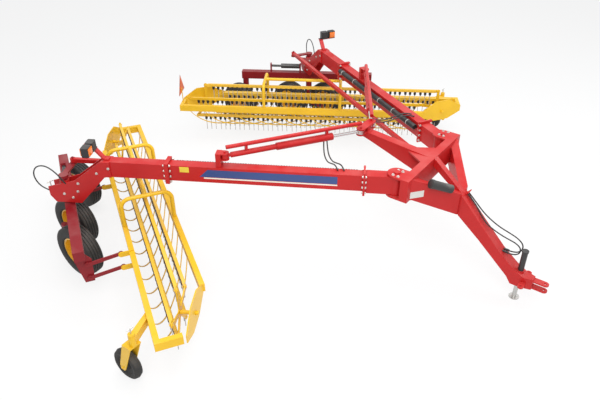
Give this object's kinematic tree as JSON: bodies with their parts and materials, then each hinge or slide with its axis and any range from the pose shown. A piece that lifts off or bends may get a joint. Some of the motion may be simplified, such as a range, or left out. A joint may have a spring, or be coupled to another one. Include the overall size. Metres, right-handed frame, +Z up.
{
  "type": "twin basket rake",
  "caption": "Towed twin hay rake: two swinging arms on a hub and tongue, each carrying a wheeled carriage and a slanted basket with a parallel-motion tine reel.",
  "frame": {"origin": "on the ground below the middle of the whole machine's box", "axes": "+X the direction of travel, +Y the left side, +Z up"},
  "size_m": [6.5093, 7.191, 1.752],
  "materials": {
    "red_paint": "gloss red paint",
    "yellow_paint": "gloss yellow paint",
    "rim_yellow": "gloss yellow paint",
    "black_paint": "satin black paint",
    "zinc": "plated steel",
    "chrome_rod": "polished rod",
    "black_plastic": "matt black",
    "hose_black": "black rubber hose",
    "tyre_rubber": "black rubber"
  },
  "bodies": {
    "frame": {"hub": "red_paint", "tongue": "red_paint", "jack_tube": "black_paint"},
    "jack": {"jack_leg": "zinc"},
    "left_wing": {"left_arm": "red_paint", "left_gooseneck": "red_paint", "left_lamp_bracket": "black_plastic", "left_arm_hoses": "hose_black"},
    "left_link": {"left_steering_link": "red_paint"},
    "left_barrel": {"left_swing_barrel": "red_paint"},
    "left_rod": {"left_swing_rod": "chrome_rod"},
    "left_carriage": {"left_carriage": "red_paint", "left_lift_cylinder": "black_paint"},
    "left_wheel_front": {"left_tyre_front": "tyre_rubber", "left_rim_front": "rim_yellow"},
    "left_wheel_middle": {"left_tyre_middle": "tyre_rubber", "left_rim_middle": "rim_yellow"},
    "left_wheel_rear": {"left_tyre_rear": "tyre_rubber", "left_rim_rear": "rim_yellow"},
    "left_lower": {"left_lower_links": "red_paint"},
    "left_upper": {"left_upper_links": "red_paint"},
    "left_basket": {"left_basket_frame": "yellow_paint"},
    "left_reel": {"left_head_front": "yellow_paint"},
    "left_reel_end": {"left_head_rear": "yellow_paint"},
    "left_bar_1": {"left_tine_bar_1": "yellow_paint"},
    "left_bar_2": {"left_tine_bar_2": "yellow_paint"},
    "left_bar_3": {"left_tine_bar_3": "yellow_paint"},
    "left_bar_4": {"left_tine_bar_4": "yellow_paint"},
    "left_bar_5": {"left_tine_bar_5": "yellow_paint"},
    "left_gauge_caster": {"left_gauge_fork": "yellow_paint"},
    "left_gauge_roller": {"left_gauge_wheel": "tyre_rubber"},
    "right_wing": {"right_arm": "red_paint", "right_gooseneck": "red_paint", "right_lamp_bracket": "black_plastic", "right_arm_hoses": "hose_black"},
    "right_link": {"right_steering_link": "red_paint"},
    "right_barrel": {"right_swing_barrel": "red_paint"},
    "right_rod": {"right_swing_rod": "chrome_rod"},
    "right_carriage": {"right_carriage": "red_paint", "right_lift_cylinder": "black_paint"},
    "right_wheel_front": {"right_tyre_front": "tyre_rubber", "right_rim_front": "rim_yellow"},
    "right_wheel_middle": {"right_tyre_middle": "tyre_rubber", "right_rim_middle": "rim_yellow"},
    "right_wheel_rear": {"right_tyre_rear": "tyre_rubber", "right_rim_rear": "rim_yellow"},
    "right_lower": {"right_lower_links": "red_paint"},
    "right_upper": {"right_upper_links": "red_paint"},
    "right_basket": {"right_basket_frame": "yellow_paint"},
    "right_reel": {"right_head_front": "yellow_paint"},
    "right_reel_end": {"right_head_rear": "yellow_paint"},
    "right_bar_1": {"right_tine_bar_1": "yellow_paint"},
    "right_bar_2": {"right_tine_bar_2": "yellow_paint"},
    "right_bar_3": {"right_tine_bar_3": "yellow_paint"},
    "right_bar_4": {"right_tine_bar_4": "yellow_paint"},
    "right_bar_5": {"right_tine_bar_5": "yellow_paint"},
    "right_gauge_caster": {"right_gauge_fork": "yellow_paint"},
    "right_gauge_roller": {"right_gauge_wheel": "tyre_rubber"}
  },
  "joints": [
    {"name": "jack_slide", "type": "slide", "parent": "frame", "child": "jack", "axis": [0, 0, 1], "range_m": [0, 0.18]},
    {"name": "left_swing", "type": "hinge", "parent": "frame", "child": "left_wing", "pos_m": [1.4877, 0.58, 1.38], "axis": [0, 0, -1], "range_deg": [-5, 20]},
    {"name": "left_link_swing", "type": "hinge", "parent": "frame", "child": "left_link", "pos_m": [1.3377, 0.32019, 1.275], "axis": [0, 0, -1], "range_deg": [-5, 20]},
    {"name": "left_steer", "type": "hinge", "parent": "left_wing", "child": "left_carriage", "pos_m": [-1.9331, 2.555, 1], "axis": [0, 0, -1], "range_deg": [-20, 5]},
    {"name": "left_cylinder_swing", "type": "hinge", "parent": "left_wing", "child": "left_barrel", "pos_m": [-0.20105, 1.555, 1.62], "axis": [0, 0, -1], "range_deg": [-1.04, 0.41]},
    {"name": "left_rod_slide", "type": "slide", "parent": "left_barrel", "child": "left_rod", "axis": [0.5467, -0.8373, 0], "range_m": [-0.0783, 0.3073]},
    {"name": "left_wheel_front_spin", "type": "hinge", "parent": "left_carriage", "child": "left_wheel_front", "pos_m": [-1.6581, 2.735, 0.343], "axis": [0, 1, 0], "continuous": true},
    {"name": "left_wheel_middle_spin", "type": "hinge", "parent": "left_carriage", "child": "left_wheel_middle", "pos_m": [-2.2081, 2.375, 0.343], "axis": [0, 1, 0], "continuous": true},
    {"name": "left_wheel_rear_spin", "type": "hinge", "parent": "left_carriage", "child": "left_wheel_rear", "pos_m": [-2.91072, 1.76411, 0.343], "axis": [0, 1, 0], "continuous": true},
    {"name": "left_lift", "type": "hinge", "parent": "left_carriage", "child": "left_lower", "pos_m": [-1.69123, 2.63444, 0.45], "axis": [-0.848, -0.5299, 0], "range_deg": [0, 20]},
    {"name": "left_upper_lift", "type": "hinge", "parent": "left_carriage", "child": "left_upper", "pos_m": [-1.69123, 2.63444, 0.64], "axis": [-0.848, -0.5299, 0], "range_deg": [0, 20]},
    {"name": "left_basket_level", "type": "hinge", "parent": "left_lower", "child": "left_basket", "pos_m": [-1.48986, 2.31218, 0.5], "axis": [-0.848, -0.5299, 0], "range_deg": [-20, 0]},
    {"name": "left_reel_spin", "type": "hinge", "parent": "left_basket", "child": "left_reel", "pos_m": [0.39099, 2.99221, 0.66], "axis": [0.848, -0.5299, 0], "continuous": true},
    {"name": "left_reel_end_spin", "type": "hinge", "parent": "left_basket", "child": "left_reel_end", "pos_m": [-2.92558, 0.91979, 0.66], "axis": [0.848, -0.5299, 0], "continuous": true},
    {"name": "left_bar_1_level", "type": "hinge", "parent": "left_reel", "child": "left_bar_1", "pos_m": [0.53714, 3.22611, 0.74961], "axis": [0.848, -0.5299, 0], "continuous": true},
    {"name": "left_bar_2_level", "type": "hinge", "parent": "left_reel", "child": "left_bar_2", "pos_m": [0.39099, 2.99221, 0.95], "axis": [0.848, -0.5299, 0], "continuous": true},
    {"name": "left_bar_3_level", "type": "hinge", "parent": "left_reel", "child": "left_bar_3", "pos_m": [0.24483, 2.75831, 0.74961], "axis": [0.848, -0.5299, 0], "continuous": true},
    {"name": "left_bar_4_level", "type": "hinge", "parent": "left_reel", "child": "left_bar_4", "pos_m": [0.30066, 2.84765, 0.42539], "axis": [0.848, -0.5299, 0], "continuous": true},
    {"name": "left_bar_5_level", "type": "hinge", "parent": "left_reel", "child": "left_bar_5", "pos_m": [0.48131, 3.13677, 0.42539], "axis": [0.848, -0.5299, 0], "continuous": true},
    {"name": "left_gauge_swivel", "type": "hinge", "parent": "left_basket", "child": "left_gauge_caster", "pos_m": [0.26285, 3.51352, 0.62], "axis": [0, 0, 1], "continuous": true},
    {"name": "left_gauge_spin", "type": "hinge", "parent": "left_gauge_caster", "child": "left_gauge_roller", "pos_m": [0.10285, 3.51352, 0.185], "axis": [0, 1, 0], "continuous": true},
    {"name": "right_swing", "type": "hinge", "parent": "frame", "child": "right_wing", "pos_m": [1.4877, -0.58, 1.38], "axis": [0, 0, 1], "range_deg": [-5, 20]},
    {"name": "right_link_swing", "type": "hinge", "parent": "frame", "child": "right_link", "pos_m": [1.3377, -0.32019, 1.275], "axis": [0, 0, 1], "range_deg": [-5, 20]},
    {"name": "right_steer", "type": "hinge", "parent": "right_wing", "child": "right_carriage", "pos_m": [-1.9331, -2.555, 1], "axis": [0, 0, 1], "range_deg": [-20, 5]},
    {"name": "right_cylinder_swing", "type": "hinge", "parent": "right_wing", "child": "right_barrel", "pos_m": [-0.20105, -1.555, 1.62], "axis": [0, 0, 1], "range_deg": [-1.04, 0.41]},
    {"name": "right_rod_slide", "type": "slide", "parent": "right_barrel", "child": "right_rod", "axis": [0.5467, 0.8373, 0], "range_m": [-0.0783, 0.3073]},
    {"name": "right_wheel_front_spin", "type": "hinge", "parent": "right_carriage", "child": "right_wheel_front", "pos_m": [-1.6581, -2.735, 0.343], "axis": [0, 1, 0], "continuous": true},
    {"name": "right_wheel_middle_spin", "type": "hinge", "parent": "right_carriage", "child": "right_wheel_middle", "pos_m": [-2.2081, -2.375, 0.343], "axis": [0, 1, 0], "continuous": true},
    {"name": "right_wheel_rear_spin", "type": "hinge", "parent": "right_carriage", "child": "right_wheel_rear", "pos_m": [-2.91072, -1.76411, 0.343], "axis": [0, 1, 0], "continuous": true},
    {"name": "right_lift", "type": "hinge", "parent": "right_carriage", "child": "right_lower", "pos_m": [-1.69123, -2.63444, 0.45], "axis": [0.848, -0.5299, 0], "range_deg": [0, 20]},
    {"name": "right_upper_lift", "type": "hinge", "parent": "right_carriage", "child": "right_upper", "pos_m": [-1.69123, -2.63444, 0.64], "axis": [0.848, -0.5299, 0], "range_deg": [0, 20]},
    {"name": "right_basket_level", "type": "hinge", "parent": "right_lower", "child": "right_basket", "pos_m": [-1.48986, -2.31218, 0.5], "axis": [0.848, -0.5299, 0], "range_deg": [-20, 0]},
    {"name": "right_reel_spin", "type": "hinge", "parent": "right_basket", "child": "right_reel", "pos_m": [0.39099, -2.99221, 0.66], "axis": [-0.848, -0.5299, 0], "continuous": true},
    {"name": "right_reel_end_spin", "type": "hinge", "parent": "right_basket", "child": "right_reel_end", "pos_m": [-2.92558, -0.91979, 0.66], "axis": [-0.848, -0.5299, 0], "continuous": true},
    {"name": "right_bar_1_level", "type": "hinge", "parent": "right_reel", "child": "right_bar_1", "pos_m": [0.53714, -3.22611, 0.74961], "axis": [-0.848, -0.5299, 0], "continuous": true},
    {"name": "right_bar_2_level", "type": "hinge", "parent": "right_reel", "child": "right_bar_2", "pos_m": [0.39099, -2.99221, 0.95], "axis": [-0.848, -0.5299, 0], "continuous": true},
    {"name": "right_bar_3_level", "type": "hinge", "parent": "right_reel", "child": "right_bar_3", "pos_m": [0.24483, -2.75831, 0.74961], "axis": [-0.848, -0.5299, 0], "continuous": true},
    {"name": "right_bar_4_level", "type": "hinge", "parent": "right_reel", "child": "right_bar_4", "pos_m": [0.30066, -2.84765, 0.42539], "axis": [-0.848, -0.5299, 0], "continuous": true},
    {"name": "right_bar_5_level", "type": "hinge", "parent": "right_reel", "child": "right_bar_5", "pos_m": [0.48131, -3.13677, 0.42539], "axis": [-0.848, -0.5299, 0], "continuous": true},
    {"name": "right_gauge_swivel", "type": "hinge", "parent": "right_basket", "child": "right_gauge_caster", "pos_m": [0.26285, -3.51352, 0.62], "axis": [0, 0, -1], "continuous": true},
    {"name": "right_gauge_spin", "type": "hinge", "parent": "right_gauge_caster", "child": "right_gauge_roller", "pos_m": [0.10285, -3.51352, 0.185], "axis": [0, 1, 0], "continuous": true}
  ],
  "couplings": [
    {"joint": "left_link_swing", "follows": "left_swing", "ratio": 1},
    {"joint": "left_steer", "follows": "left_swing", "ratio": -1},
    {"joint": "left_cylinder_swing", "follows": "left_swing", "ratio": -0.04223},
    {"joint": "left_rod_slide", "follows": "left_swing", "m_per_rad": 0.87467},
    {"joint": "left_upper_lift", "follows": "left_lift", "ratio": 1},
    {"joint": "left_basket_level", "follows": "left_lift", "ratio": -1},
    {"joint": "left_reel_end_spin", "follows": "left_reel_spin", "ratio": 1},
    {"joint": "left_bar_1_level", "follows": "left_reel_spin", "ratio": -1},
    {"joint": "left_bar_2_level", "follows": "left_reel_spin", "ratio": -1},
    {"joint": "left_bar_3_level", "follows": "left_reel_spin", "ratio": -1},
    {"joint": "left_bar_4_level", "follows": "left_reel_spin", "ratio": -1},
    {"joint": "left_bar_5_level", "follows": "left_reel_spin", "ratio": -1},
    {"joint": "right_link_swing", "follows": "right_swing", "ratio": 1},
    {"joint": "right_steer", "follows": "right_swing", "ratio": -1},
    {"joint": "right_cylinder_swing", "follows": "right_swing", "ratio": -0.04223},
    {"joint": "right_rod_slide", "follows": "right_swing", "m_per_rad": 0.87467},
    {"joint": "right_upper_lift", "follows": "right_lift", "ratio": 1},
    {"joint": "right_basket_level", "follows": "right_lift", "ratio": -1},
    {"joint": "right_reel_end_spin", "follows": "right_reel_spin", "ratio": 1},
    {"joint": "right_bar_1_level", "follows": "right_reel_spin", "ratio": -1},
    {"joint": "right_bar_2_level", "follows": "right_reel_spin", "ratio": -1},
    {"joint": "right_bar_3_level", "follows": "right_reel_spin", "ratio": -1},
    {"joint": "right_bar_4_level", "follows": "right_reel_spin", "ratio": -1},
    {"joint": "right_bar_5_level", "follows": "right_reel_spin", "ratio": -1}
  ]
}
